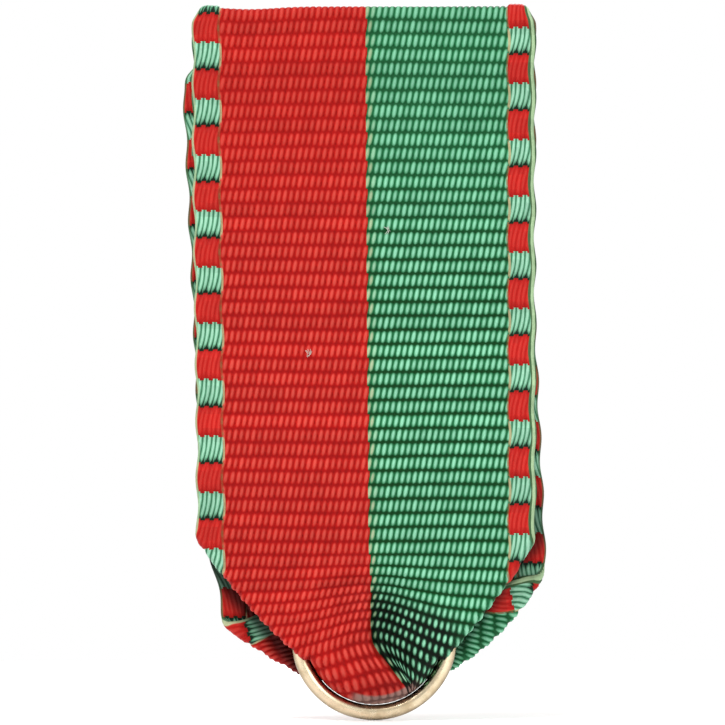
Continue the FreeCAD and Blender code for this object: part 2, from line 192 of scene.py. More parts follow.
def thickness(u, v, outer):
    """How far the cloth's surface lies from its middle."""
    even_u, even_v = wander(u, v)
    parity, swap = (0, 0) if outer else (1, 1)
    field = FIELD_RELIEF[0] + FIELD_RELIEF[1] * field_height(even_u, even_v, parity)
    band = BAND_RELIEF[0] + BAND_RELIEF[1] * band_height(even_u, even_v, swap)
    in_band = smooth(np.abs(even_u), BAND - 0.05, BAND + 0.05)
    height = field + (band - field) * in_band
    groove = np.exp(-((np.abs(even_u) - BAND) / 0.05) ** 2)
    height = height * (1 - 0.35 * groove)
    rim = np.clip((np.abs(u) - (WIDTH / 2 - RIM)) / RIM, 0, 1)
    return height * np.sqrt(np.clip(1.02 - rim ** 2, 0.02, 1))


# ---------------------------------------------------------------- the folded strip

def edge_scallop(u, v):
    """The red checks lie a little to the left, and the green ones to the right."""
    start = np.where(u < 0, CHECK_START[-1], CHECK_START[1])
    wave = np.cos(2 * math.pi * ((v - start) / CHECK - (1 + RED_SHARE) / 2))
    return SCALLOP * wave * smooth(np.abs(u), 6.2, 6.9)


def front_flat(u, v):
    """Where a point of the front leg lies on the leg's plane, before the side folds."""
    z = TOP - PLY / 2 - TOP_BEND + TOP_BEND * math.pi / 2 - v
    low = smooth(-z, 0.0, 18.0)
    x = u * (1 - 0.012 * low) + 0.10 * low + edge_scallop(u, v)
    beside, right = u - COLOUR_EDGE, u > COLOUR_EDGE
    # low down the middle is drawn over to the right, and the rows climb toward the pleat
    near = np.exp(-(beside / np.where(right, 1.5, 3.2)) ** 2)
    x = x + near * (0.14 * smooth(-z, 19.5, 24.0) + 1.80 * smooth(-z, 26.7, 30.0))
    rise = np.where(right, np.exp(-(beside / 3.0) ** 2), 0.45 + 0.55 * np.exp(-(beside / 2.6) ** 2))
    rise = rise * smooth(WIDTH / 2 - np.abs(u), 0.0, 3.0)
    z = z + 1.9 * smooth(-z, 20.5, 27.5) * rise
    return x, z


def back_flat(u, v):
    """The same for the back leg, which leans; v is measured up from the gutter's middle."""
    z = RING_Z - GUTTER - LEG_OFF * math.pi / 2 + v
    x = u - (z - BACK_PIVOT) * math.tan(BACK_LEAN) + edge_scallop(u, v + BACK_PHASE)
    # its left side is drawn in low down, and the cut end's corners are worn round
    low = smooth(-z, 19.0, 24.5)
    x = x + np.where(u < 0, 0.75, -0.05) * low * smooth(np.abs(u), 2.0, WIDTH / 2)
    near_end = smooth(z, CUT_END - 1.3, CUT_END)
    x = x - np.sign(u) * 0.75 * near_end ** 2 * smooth(np.abs(u), 6.6, WIDTH / 2)
    z = z + 0.8 * smooth(-z, 20.0, 27.0) * np.exp(-((u - 0.4) / 3.0) ** 2)
    return x, z


def crease(z):
    """How far across the front leg's pleat lies, at a height."""
    return 0.24 + 0.12 * smooth(-z, 20.0, 23.0) + 1.75 * smooth(-z, 24.9, 28.1)


def front_off(x, z):
    """How far the front leg's middle lies in front of the ring's plane."""
    top_off = RING_Y - FRONT_TOP_Y
    off = top_off + (LEG_OFF - top_off) * smooth(-z, 2.0, 20.5)
    free = smooth(4.0 - z, 0.0, 3.0)
    off = off + 0.055 * ripple(x, z, 11, 2.4) * free * smooth(-z, -4.5, 1.0)
    off = off - 0.10 * smooth(np.abs(x), 6.2, 8.2) * free
    # it bulges over the hidden half of the ring, and above it
    rho = np.hypot(x - RING_X, z - RING_Z)
    upper = smooth(z - RING_Z, -1.2, 1.0)
    off = off + 0.16 * upper * np.exp(-((rho - RING_RADIUS) / 0.55) ** 2)
    off = off + 0.10 * smooth(-z, 15.0, 19.5) * (1 - smooth(-z, 19.5, 23.0))
    # the pleat: a step down into a valley on its right, with a low swell on its left
    depth = 0.95 * smooth(-z, 22.0, 24.6) * (1 - 0.8 * smooth(rho, 2.0, 2.9))
    e = x - crease(z)
    step = 0.5 * (1 + np.tanh(e / 0.13))
    off = off - depth * step * np.exp(-(np.maximum(e - 0.2, 0) / 1.5) ** 2)
    off = off + 0.34 * depth * (1 - step) * np.exp(-((e + 0.35) / 0.9) ** 2)
    return off


def back_off(x, z):
    """How far the back leg's middle lies behind the ring's plane."""
    top_off = BACK_TOP_Y - RING_Y
    off = top_off + (LEG_OFF - top_off) * smooth(-z, 3.0, 19.5)
    off = off + 0.05 * ripple(x, z, 21, 2.6) * smooth(-z, 2.0, 6.0)
    off = off - 0.10 * smooth(np.abs(x), 6.2, 8.2) * smooth(-z, 2.0, 6.0)
    rho = np.hypot(x - RING_X, z - RING_Z)
    upper = smooth(z - RING_Z, -1.2, 1.0)
    off = off + 0.10 * upper * np.exp(-((rho - RING_RADIUS) / 0.55) ** 2)
    depth = 0.35 * smooth(-z, 23.0, 25.5) * (1 - 0.75 * smooth(rho, 1.9, 2.9))
    return off - depth * np.exp(-((x - 0.6) / 0.8) ** 2)


# Each leg's slanting folds: where they leave its edges, the angle at which they run out into
# the ring, how far they bow, how far the cloth behind them has slid along them, and how far
# the leg itself lies from the ring's plane. Left is -1 and right is 1.
FRONT = {
    "corner": {-1: (-7.62, -20.15), 1: (8.02, -19.85)},
    "throat": math.radians(74),
    "bow": {-1: 0.30, 1: 0.24},
    "slide": {-1: 0.14, 1: 0.14},
    "off": front_off,
}
BACK = {
    "corner": {-1: (-6.62, -24.05), 1: (8.50, -21.30)},
    "throat": math.radians(54),
    "bow": {-1: 0.20, 1: 0.70},
    "slide": {-1: 0.10, 1: 0.02},
    "off": back_off,
}


def through_ring(leg, x, z, h):
    """The middle of a leg, turned round the lower half of the ring and in between the legs.

    Gives its place across, up and off the ring's plane, the height h of its surface where the
    ring presses on it, which points are in the throat, and which are past the cut.
    """
    off = leg["off"](x, z)
    rx, rz = x - RING_X, z - RING_Z
    rho, phi = np.hypot(rx, rz), np.arctan2(np.abs(rx), -rz)
    widest = leg["throat"]
    inside = phi < widest
    start = GUTTER + (LEG_OFF - 0.15) * smooth(phi, widest - math.radians(15), widest)
    bend = GRIP - start
    beyond = rho - start
    turn = np.clip(beyond / bend, 0, math.pi / 2)
    pressed = 0.85 * smooth(turn, 0.7, 1.3) * inside
    h = h + (np.sign(h) * PRESSED - h) * pressed
    run = np.clip(beyond - bend * math.pi / 2, 0, LEG_OFF - bend)
    reach = np.where(beyond > 0, start + (bend + h) * np.sin(turn), rho)
    calm = off + (LEG_OFF - off) * smooth(beyond, -0.3, 0.9)
    level = calm + np.where(beyond > 0, (bend + h) * np.cos(turn) - bend - run, h)
    share = np.where(inside, reach / np.maximum(rho, 1e-6), 1.0)
    past = inside & (beyond >= bend * math.pi / 2 + LEG_OFF - bend)
    past |= (~inside) & (rz < -0.2) & (rho > 6.5) & (np.abs(rx) < 2.0)
    return RING_X + rx * share, RING_Z + rz * share, np.where(inside, level, off + h), h, inside, past


def side_fold(leg, side, x, z, h):
    """One side of a leg, turned in behind it along a slanting fold, and tucked up at the ring.

    Gives the place of what is folded, which points are folded, which lie below the fold's end,
    and which are past the cut.
    """
    (ax, az), (bx, bz) = leg["corner"][side], throat(leg["throat"])[side]
    length = math.hypot(bx - ax, bz - az)
    dx, dz = (bx - ax) / length, (bz - az) / length
    ox, oz = -side * dz, side * dx
    whole = ((x - ax) * dx + (z - az) * dz) / length
    s = np.clip(whole, 0, 1)
    d = (x - ax) * ox + (z - az) * oz - leg["bow"][side] * 4 * s * (1 - s)
    folded, below = (d > 0) & (whole < 1.0), (d > 0) & (whole >= 1.0)
    foot_x, foot_z = x - ox * d, z - oz * d
    turn = np.clip(d / SIDE_BEND, 0, math.pi)
    out = (SIDE_BEND + h) * np.sin(turn) - np.maximum(d - math.pi * SIDE_BEND, 0)
    slide = leg["slide"][side] * d
    new_x, new_z = foot_x + ox * out + dx * slide, foot_z + oz * out + dz * slide
    flat_off = np.maximum(leg["off"](foot_x, foot_z), LEG_OFF - 0.1)
    off = flat_off - SIDE_BEND + (SIDE_BEND + h) * np.cos(turn)

    (px, pz) = TUCK_TOP[side]
    rise = math.hypot(px - bx, pz - bz)
    nx, nz = -side * (pz - bz) / rise, side * (px - bx) / rise
    e = (new_x - bx) * nx + (new_z - bz) * nz
    tuck = np.clip(e / TUCK_BEND, 0, math.pi / 2)
    tucked = (e > 0) & (turn >= math.pi)
    shift = (TUCK_BEND - h) * np.sin(tuck) - e
    new_x = np.where(tucked, new_x + nx * shift, new_x)
    new_z = np.where(tucked, new_z + nz * shift, new_z)
    off = np.where(tucked, (TUCK_BEND - h) * np.cos(tuck), off)
    past = (e > TUCK_BEND * math.pi / 2) & (turn >= math.pi)
    return new_x, new_z, off, folded, below, past


def fold_leg(leg, x, z, h):
    """Folds a leg's flat sheet: the middle through the ring, and the sides in between the legs.

    Gives the place across, up and off the ring's plane, and whether the point is past the cut
    where the other leg's piece takes over.
    """
    new_x, new_z, new_off, h, inside, past = through_ring(leg, x, z, h)
    folded_both = np.zeros(x.shape, int)
    for side in (-1, 1):
        side_x, side_z, side_off, folded, below, side_past = side_fold(leg, side, x, z, h)
        past |= below & ~inside
        folded_both += folded
        new_x = np.where(folded, side_x, new_x)
        new_z = np.where(folded, side_z, new_z)
        new_off = np.where(folded, side_off, new_off)
        past = np.where(folded, side_past, past)
    past |= folded_both > 1
    return new_x, new_z, new_off, past


def place_front(u, v, h):
    """A point of the strip in the frame: the hem, the top fold and the front leg."""
    x, z = front_flat(u, v)
    new_x, new_z, off, past = fold_leg(FRONT, x, z, h)
    y = RING_Y - off
    quarter = TOP_BEND * math.pi / 2
    top_z = TOP - PLY / 2 - TOP_BEND
    middle = RING_Y - front_off(x, np.full_like(z, top_z)) + TOP_BEND
    turn = np.clip((quarter - v) / TOP_BEND, 0, math.pi)
    over = v < quarter
    # the fold droops at its corners and left of its middle
    sag = 0.12 * smooth(np.abs(u), 7.3, WIDTH / 2) ** 2 + 0.12 * np.exp(-((u + 5.4) / 1.7) ** 2)
    top = top_z + (TOP_BEND + h) * np.sin(turn) + np.minimum(v + quarter, 0)
    y = np.where(over, middle - (TOP_BEND + h) * np.cos(turn), y)
    new_z = np.where(over, top, new_z) - sag * smooth(2.5 - np.abs(v), 0, 2.5)
    pull = smooth(np.abs(u), 7.0, WIDTH / 2) * smooth(0.7 - np.abs(v), 0, 0.7)
    new_x = new_x - np.sign(u) * 0.22 * pull
    return new_x, y, new_z, past & ~over


def place_back(u, v, h):
    """The same for the back leg."""
    x, z = back_flat(u, v)
    new_x, new_z, off, past = fold_leg(BACK, x, z, h)
    return new_x, RING_Y + off, new_z, past


def sheet_faces(kept):
    """The quads of a closed sheet where kept says: its rims, then its outer and inner face.

    Gives the quads, their materials, and which of them are shaded round.
    """
    index = np.arange((kept.shape[0] + 1) * (kept.shape[1] + 1))
    index = index.reshape(kept.shape[0] + 1, kept.shape[1] + 1)
    a, b, c, d = index[:-1, :-1], index[:-1, 1:], index[1:, 1:], index[1:, :-1]
    outer = np.stack([a, b, c, d], -1)[kept]
    inner = outer[:, ::-1] + index.size
    rims, rounded = [], []
    padded = np.pad(kept, 1)
    sides = ((padded[:-2, 1:-1], a, b, False), (padded[1:-1, 2:], b, c, True),
             (padded[2:, 1:-1], c, d, False), (padded[1:-1, :-2], d, a, True))
    for neighbour, one, two, selvedge in sides:
        edge = kept & ~neighbour
        p, q = one[edge], two[edge]
        rims.append(np.stack([q, p, p + index.size, q + index.size], -1))
        rounded.append(np.full(len(p), selvedge))
    rims = np.concatenate(rims)
    rounded.append(np.ones(len(outer) + len(inner), bool))
    kinds = np.repeat([2, 0, 1], [len(rims), len(outer), len(inner)])
    return np.concatenate([rims, outer, inner]), kinds, np.concatenate(rounded)


def strip_mesh(name, points, strip, faces, kinds, rounded):
    """A mesh of quads that carries the flat strip's coordinates and its three materials."""
    used = np.unique(faces)
    remap = np.full(len(points), -1)
    remap[used] = np.arange(len(used))
    faces, points, strip = remap[faces], points[used], strip[used]
    mesh = bpy.data.meshes.new(name)
    mesh.vertices.add(len(points))
    mesh.vertices.foreach_set("co", points.astype(np.float32).ravel())
    mesh.loops.add(faces.size)
    mesh.loops.foreach_set("vertex_index", faces.astype(np.int32).ravel())
    mesh.polygons.add(len(faces))
    mesh.polygons.foreach_set("loop_start", np.arange(0, faces.size, 4, dtype=np.int32))
    mesh.polygons.foreach_set("use_smooth", rounded)
    mesh.update(calc_edges=True)
    layer = mesh.uv_layers.new(name="strip")
    layer.data.foreach_set("uv", strip[faces.ravel()].astype(np.float32).ravel())
    for material in (WOVEN_FACE, WOVEN_BACK, SELVEDGE):
        mesh.materials.append(material)
    mesh.polygons.foreach_set("material_index", kinds.astype(np.int32))
    mesh.validate()
    return mesh


def cloth(name, place, first, last, toward, phase=0.0, joined=(False, False)):
    """A length of the strip as a closed sheet with both faces woven.

    Where it meets the next length it runs on for two rows, sunk under the other's surface.
    Its outer face looks forward where toward is -1 and back where it is 1.
    """
    rows = max(4, round((last - first) / RIB * ROWS_IN_RIB))
    step = (last - first) / rows
    along = first + step * np.arange(-2 * joined[0], rows + 1 + 2 * joined[1])
    beyond = np.maximum(first - along, along - last)
    sunk = np.interp(beyond, (0, step, 2 * step), (0, *SEAM_SUNK))
    u, v = np.meshgrid(np.linspace(-WIDTH / 2, WIDTH / 2, COLUMNS + 1), along)
    pattern_v = v + phase + np.where((phase > 0) & (u < -BAND), RIB, 0.0)
    points, past = [], None
    for outer in (True, False):
        h = thickness(u, pattern_v, outer)
        h = np.maximum(h - sunk[:, None], 0.4 * h) * (1 if outer else -1)
        x, y, z, gone = place(u, v, h)
        points.append(np.stack([x, y, z], -1).reshape(-1, 3) * MM)
        past = gone if past is None else past
    kept = ~(past[:-1, :-1] & past[1:, :-1] & past[:-1, 1:] & past[1:, 1:])
    faces, kinds, rounded = sheet_faces(kept)
    if toward > 0:
        faces = faces[:, ::-1]
    strip = np.tile(np.stack(wander(u, pattern_v), -1).reshape(-1, 2), (2, 1))
    piece = made(name, strip_mesh(name, np.concatenate(points), strip, faces, kinds, rounded))
    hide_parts("ribbon")
    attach(piece, "drape")
    flat = (WIDTH * MM, (along[-1] - along[0]) * MM)
    share = float(kept.mean())
    whole = share > 0.999
    None if whole else share * flat[0] * flat[1]


# ---------------------------------------------------------------- materials

def srgb(red, green, blue):
    """A colour as it looks, 0 to 255, as the linear colour that the shader wants."""
    values = []
    for value in (red, green, blue):
        value = value / 255
        values.append(value / 12.92 if value <= 0.04045 else ((value + 0.055) / 1.055) ** 2.4)
    return (*values, 1.0)


class Signal:
    """A socket that can be reckoned with, so that node arithmetic reads as arithmetic."""

    def __init__(self, tree, socket):
        self.tree, self.socket = tree, socket

    def math(self, operation, *others, clamp=False):
        node = self.tree.nodes.new("ShaderNodeMath")
        node.operation, node.use_clamp = operation, clamp
        for i, value in enumerate((self, *others)):
            if isinstance(value, Signal):
                self.tree.links.new(value.socket, node.inputs[i])
            else:
                node.inputs[i].default_value = value
        return Signal(self.tree, node.outputs[0])

    def __add__(self, other):
        return self.math("ADD", other)

    __radd__ = __add__

    def __sub__(self, other):
        return self.math("SUBTRACT", other)

    def __rsub__(self, other):
        return self.math("MULTIPLY_ADD", -1.0, other)

    def __mul__(self, other):
        return self.math("MULTIPLY", other)

    def __truediv__(self, other):
        return self.math("DIVIDE", other)

    def power(self, other):
        return self.math("POWER", other)

    def floor(self):
        return self.math("FLOOR")

    def frac(self):
        return self.math("FRACT")

    def abs(self):
        return self.math("ABSOLUTE")

    def max(self, other):
        return self.math("MAXIMUM", other)

    def above(self, other):
        return self.math("GREATER_THAN", other)

    def below(self, other):
        return self.math("LESS_THAN", other)

    def parity(self):
        """0 for an even whole number and 1 for an odd one."""
        return (self * 0.5).frac() * 2.0

    def clipped(self):
        """Held from 0 to 1."""
        return self.math("ADD", 0.0, clamp=True)

    def between(self, low, high):
        """0 at low and 1 at high, smoothly."""
        node = self.tree.nodes.new("ShaderNodeMapRange")
        node.interpolation_type = "SMOOTHSTEP"
        self.tree.links.new(self.socket, node.inputs["Value"])
        node.inputs["From Min"].default_value = low
        node.inputs["From Max"].default_value = high
        return Signal(self.tree, node.outputs["Result"])

    def mix(self, low, high):
        """Low where this is 0 and high where it is 1, for numbers."""
        node = self.tree.nodes.new("ShaderNodeMix")
        for name, value in (("Factor", self), ("A", low), ("B", high)):
            if isinstance(value, Signal):
                self.tree.links.new(value.socket, node.inputs[name])
            else:
                node.inputs[name].default_value = value
        return Signal(self.tree, node.outputs["Result"])


SHORT_NAMES = {"colour": "Base Color", "specular": "Specular IOR Level", "sheen": "Sheen Weight"}


class Shader:
    """A principled material whose sockets are fed by signals."""

    def __init__(self, name):
        self.material = bpy.data.materials.new(name)
        self.material.use_nodes = True
        self.tree = self.material.node_tree
        self.principled = self.tree.nodes["Principled BSDF"]

    def set(self, **values):
        """Feeds the principled shader's sockets, by their own or shorter names."""
        for name, value in values.items():
            socket = self.principled.inputs[SHORT_NAMES.get(name, name.capitalize())]
            if isinstance(value, Signal):
                self.tree.links.new(value.socket, socket)
            else:
                socket.default_value = value

    def strip(self):
        """Where a point is across and along the flat strip."""
        node = self.tree.nodes.new("ShaderNodeUVMap")
        node.uv_map = "strip"
        split = self.tree.nodes.new("ShaderNodeSeparateXYZ")
        self.tree.links.new(node.outputs["UV"], split.inputs[0])
        return Signal(self.tree, split.outputs[0]), Signal(self.tree, split.outputs[1])

    def place(self):
        """Where it is in the frame."""
        node = self.tree.nodes.new("ShaderNodeTexCoord")
        split = self.tree.nodes.new("ShaderNodeSeparateXYZ")
        self.tree.links.new(node.outputs["Object"], split.inputs[0])
        return [Signal(self.tree, split.outputs[i]) * (1 / MM) for i in range(3)]

    def combine(self, x, y, z=0.0):
        node = self.tree.nodes.new("ShaderNodeCombineXYZ")
        for i, value in enumerate((x, y, z)):
            if isinstance(value, Signal):
                self.tree.links.new(value.socket, node.inputs[i])
            else:
                node.inputs[i].default_value = value
        return Signal(self.tree, node.outputs[0])

    def noise(self, place, scale=1.0, detail=2.0, roughness=0.5):
        node = self.tree.nodes.new("ShaderNodeTexNoise")
        self.tree.links.new(place.socket, node.inputs["Vector"])
        node.inputs["Scale"].default_value = scale
        node.inputs["Detail"].default_value = detail
        node.inputs["Roughness"].default_value = roughness
        return Signal(self.tree, node.outputs["Fac"])

    def chance(self, place):
        """A number from 0 to 1 that is the thread's own."""
        node = self.tree.nodes.new("ShaderNodeTexWhiteNoise")
        node.noise_dimensions = "2D"
        self.tree.links.new(place.socket, node.inputs["Vector"])
        return Signal(self.tree, node.outputs["Value"])

    def blend(self, share, low, high):
        """Two colours, mixed."""
        node = self.tree.nodes.new("ShaderNodeMix")
        node.data_type = "RGBA"
        for name, value in (("Factor_Float", share), ("A_Color", low), ("B_Color", high)):
            socket = next(s for s in node.inputs if s.identifier == name)
            if isinstance(value, Signal):
                self.tree.links.new(value.socket, socket)
            else:
                socket.default_value = value
        out = next(s for s in node.outputs if s.identifier == "Result_Color")
        return Signal(self.tree, out)

    def tint(self, colour, amount):
        """A colour made darker or lighter by a number near 1."""
        node = self.tree.nodes.new("ShaderNodeVectorMath")
        node.operation = "SCALE"
        self.tree.links.new(colour.socket, node.inputs[0])
        self.tree.links.new(amount.socket, node.inputs["Scale"])
        return Signal(self.tree, node.outputs[0])

    def bump(self, height, distance, strength=1.0):
        node = self.tree.nodes.new("ShaderNodeBump")
        node.inputs["Distance"].default_value = distance * MM
        node.inputs["Strength"].default_value = strength
        self.tree.links.new(height.socket, node.inputs["Height"])
        return Signal(self.tree, node.outputs[0])


# The gap colours are partly the threads' own darker colour and partly painted shade; the crown colours
# are painted highlights on the floats.
RED = {"gap": srgb(150, 3, 2), "body": srgb(176, 18, 10), "crown_highlight": srgb(192, 66, 56)}
GREEN = {"gap": srgb(0, 54, 16), "body": srgb(36, 120, 74), "crown_highlight": srgb(130, 194, 160)}
CHECK_RED = {"gap": srgb(152, 10, 6), "body": srgb(172, 22, 16), "crown_highlight": srgb(186, 50, 42)}
CHECK_GREEN = {"gap": srgb(2, 30, 14), "upper": srgb(44, 96, 68), "body": srgb(92, 152, 118),
               "crown_highlight": srgb(146, 196, 168)}
CREAM = srgb(170, 160, 120)
TAN = srgb(140, 92, 58)
PALE_EDGE = srgb(158, 186, 144)
DARK_EDGE = srgb(62, 92, 58)
TURN_SHEEN = {"gap": srgb(104, 74, 70), "body": srgb(150, 116, 108)}
TURN_SHEEN_FROM = GRIP - 0.25  # the turn's painted sheen runs from here outward, from the ring's centre
TURN_SHEEN_ASIDE = math.radians(12)
EDGE_CORD = 0.16         # the pale cord's middle, from the cloth's right edge
EDGE_CORD_HALF = 0.085
EDGE_SWAY = 0.045        # how far it winds from side to side, once in a check
FOLD_SHADE = ((-1, 1.50, 0.86), (1, 1.05, 0.66))  # side, reach and depth of the painted shadow under each front fold


def floats(shader, u, v, parity):
    """The floats of the red and green field at a point: the upper one, and where in it.

    Each float has a number of its own, from its rib's and its place in the rib, for its tone.
    """
    rib = (v / RIB).floor()
    along = v / RIB - rib - 0.5

    def candidate(step):
        b = along - step
        odd = (rib + (step + parity)).parity() * 0.5
        a = (u - b * (LEAN * RIB)) / PAIR + odd
        count = a.floor()
        a = a - count - 0.5
        across = (1.0 - (a / FLOAT_HALF).power(2.0)).clipped().power(0.5)
        height = across * (1.0 - (b / FLOAT_REACH).power(2.0)).clipped()
        return height, (count + 0.5 - odd) * PAIR, count + (rib + step) * 57.0, a

    own = candidate(0.0)
    other = candidate(along.above(0.0) * 2.0 - 1.0)
    swapped = other[0].above(own[0])
    middle, number, across = (swapped.mix(own[i], other[i]) for i in (1, 2, 3))
    return {"rib": rib, "along": along, "height": own[0].max(other[0]), "middle": middle,
            "across": across.abs(),
            "tone": shader.chance(shader.combine(number * 0.731, number * 0.117))}


def hollow_beside(u, y, z):
    """The shade in the valley right of the front leg's pleat, and fainter on its left."""
    beside = u - COLOUR_EDGE
    deep = (0.0 - z - beside.max(0.0) * 0.36).between(21.7, 23.6) * y.below(RING_Y)
    left, right = beside.abs().between(2.4, 0.2) * 0.26, beside.between(5.6, 3.4)
    return beside.above(0.0).mix(left, right) * deep


def field_colour(shader, u, v, one, fine, hollow):
    """The field's colour, with painted gap shade and crown highlights; how far a point is out of the
    gaps, and how near a crown.
    """
    in_row = (1.0 - (one["along"] / 0.40).power(4.0)).clipped()
    pressed = v.between(15.0, 4.0)  # less painted gap shade and crown highlight toward the top fold
    rise = one["height"] - one["along"] * one["along"] * (0.62 - pressed * 0.42)
    low = rise.between(0.20, 0.70).max(in_row * 0.60).max(pressed * 0.30)
    high = rise - one["across"] * 0.55 + (one["tone"] - 0.5) * 0.16 - hollow * 0.08
    high = high.between(0.26, 0.94) * (1.0 - pressed * 0.22)
    narrow = (one["across"] + (fine - 0.5) * 0.30).between(0.40, 0.10)
    # Gaps are darker partly in their own colour and partly by painted shade; the crowns carry a
    # painted highlight.
    red = shader.blend(low, RED["gap"], RED["body"])
    red = shader.blend(high * (0.25 + narrow * 0.75), red, RED["crown_highlight"])
    green = shader.blend(low, GREEN["gap"], GREEN["body"])
    first = (one["middle"] - COLOUR_EDGE).between(0.44, 0.16)
    crown_highlight = shader.blend(first * 0.6, GREEN["crown_highlight"], CREAM)
    green = shader.blend(high * (0.45 + narrow * 0.55), green, crown_highlight)
    is_green = (one["middle"] * 0.35 + u * 0.65).above(COLOUR_EDGE)
    return shader.blend(is_green, red, green), low, high


def check_colour(shader, u, v, swap):
    """The checked edges' colour, with painted gap shade and crown highlights, and where a point is: in
    which check, and how far down it.
    """
    left = u.below(0.0)
    start = left.mix(CHECK_START[1], CHECK_START[-1])
    stagger = (((u.abs() - BAND) / STRAND).floor().parity() - 0.5) * STAGGER
    share = ((v - start) / CHECK + stagger + swap * 0.5 + 40.0).frac()
    is_red = share.below(RED_SHARE)
    place = is_red.mix((share - RED_SHARE) / (1 - RED_SHARE), share / RED_SHARE) * 2.0 - 1.0
    strand = (u.abs() - BAND - left.mix(1.0, -1.0) * place * (LEAN * RIB)) / STRAND
    a = strand - strand.floor() - 0.5
    half = is_red.mix(place * 0.05 + 0.52, STRAND_HALF)
    ridge = (1.0 - (a / half).power(2.0)).clipped().power(0.5)

    # Red checks: gaps darker partly in their own colour and partly by painted shade, and a painted
    # highlight on the crowns.
    crest = ridge * (1.0 - place.abs().power(SWELL)).clipped().power(0.5)
    red = shader.blend(crest.between(0.30, 0.75), CHECK_RED["gap"], CHECK_RED["body"])
    red = shader.blend(crest.between(0.80, 1.0) * 0.7, red, CHECK_RED["crown_highlight"])

    # Green checks: gaps and strands darken toward each check's lower end, a painted shade of light
    # from above; the crowns carry a painted highlight.
    crest = ridge * (1.0 - place.max(-0.70).abs().power(SWELL)).clipped().power(0.5)
    lower_end = place.max(0.0).power(2.0) * 0.34
    gap = shader.blend(place.between(-0.2, 0.7), CHECK_GREEN["upper"], CHECK_GREEN["gap"])
    green = shader.blend((crest - lower_end).between(0.36, 0.82), gap, CHECK_GREEN["body"])
    green = shader.blend((crest - place * 0.10).between(0.80, 1.0), green, CHECK_GREEN["crown_highlight"])
    return shader.blend(is_red, green, red), {"red": is_red, "share": share, "place": place}


def edge_threads(shader, u, v, colour, check, face):
    """The thin thread beside the checks, and the cord and selvedge at the cloth's own edges."""
    thread = (1.0 - ((u.abs() - (BAND - 0.02)) / 0.065).power(2.0)).clipped().between(0.1, 0.6)
    dots = ((v / RIB).frac() - 0.5).abs().between(0.30, 0.14)
    ends = (1.0 - check["place"].abs()).between(0.02, 0.30)
    showing = thread * check["red"].mix(ends, 0.40 + dots * 0.45)
    colour = shader.blend(showing * 0.9, colour, shader.blend(check["red"], CREAM, TAN))
    thin = u.abs().between(WIDTH / 2 - 0.12, WIDTH / 2 - 0.06)
    if face:
        sway = (2.0 - ((check["share"] + 0.25).frac() - 0.5).abs() * 4.0) * EDGE_SWAY
        # Outward of here the face is darkened, a painted shade round the pale cord.
        beside = u.between(WIDTH / 2 - 0.31, WIDTH / 2 - 0.27)
        colour = shader.blend(beside, colour, DARK_EDGE)
        cord = 1.0 - ((u - (WIDTH / 2 - EDGE_CORD) - sway) / EDGE_CORD_HALF).power(2.0)
        colour = shader.blend(cord.clipped().between(0.0, 0.5), colour, PALE_EDGE)
        thin = thin * u.below(0.0)
    return shader.blend(thin * 0.8, colour, PALE_EDGE if face else DARK_EDGE)


def painted_turn_sheen(x, z):
    """Where the turn through the ring gets a pale painted sheen, low down and a little to the right.
    """
    rx, rz = x - RING_X, RING_Z - z
    rho = (rx * rx + rz * rz).power(0.5)
    aside = (rz * math.cos(TURN_SHEEN_ASIDE) + rx * math.sin(TURN_SHEEN_ASIDE)) / rho
    return rho.between(TURN_SHEEN_FROM - 0.08, TURN_SHEEN_FROM + 0.06) * aside.between(0.80, 0.90)


def painted_fold_shadow(x, y, z):
    """A painted shadow on the inner cloth just below the front leg's slanting folds: 1 where there is
    none.
    """
    light = 1.0
    inner = y.above(RING_Y - 0.2) * y.below(RING_Y + LEG_OFF) * z.between(-17.4, -20.6)
    for side, reach, depth in FOLD_SHADE:
        (ax, az), (bx, bz) = FRONT["corner"][side], throat(FRONT["throat"])[side]
        length = math.hypot(bx - ax, bz - az)
        below = (x - ax) * (-side * (bz - az) / length) + (z - az) * (side * (bx - ax) / length)
        under = below.between(reach, reach * 0.5) * below.between(-1.6, -0.4)
        light = (1.0 - inner * under * (x * side).above(0.0) * depth) * light
    return light


def woven(name, parity, swap):
    """The ribbon's face or its reverse, thread by thread, from the strip's coordinates."""
    shader = Shader(name)
    u, v = shader.strip()
    x, y, z = shader.place()
    one = floats(shader, u, v, parity)
    fine = shader.noise(shader.combine(u * 26.0 + v * 4.0, v * 3.2), detail=3.0)
    hollow = hollow_beside(u, y, z)
    field, low, high = field_colour(shader, u, v, one, fine, hollow)
    checks, check = check_colour(shader, u, v, swap)
    colour = shader.blend(u.abs().above(BAND), field, checks)
    colour = edge_threads(shader, u, v, colour, check, face=parity == 0)
    # A pale grey-pink painted sheen on the turn where it curves away through the ring.
    turn_sheen = shader.blend(low, TURN_SHEEN["gap"], TURN_SHEEN["body"])
    colour = shader.blend(painted_turn_sheen(x, z), colour, turn_sheen)

    row_tone = shader.chance(shader.combine(one["rib"] * 0.37, 3.0))
    cloud = shader.noise(shader.combine(u * 0.5, v * 0.7), detail=2.0)
    amount = (0.88 + one["tone"] * 0.14) * (0.84 + fine * 0.32) * (0.90 + cloud * 0.20)
    # Painted shade darkens the pleat's valley, and a painted shadow falls under the front folds.
    amount = amount * (0.93 + row_tone * 0.14) * (1.0 - hollow * high.mix(0.92, 0.0))
    colour = shader.tint(colour, amount * painted_fold_shadow(x, y, z))
    relief = shader.bump(fine * 0.5 + one["height"] * 0.5, 0.030, 0.7)
    shader.set(colour=colour, roughness=0.56, specular=0.12, normal=relief)
    return shader.material


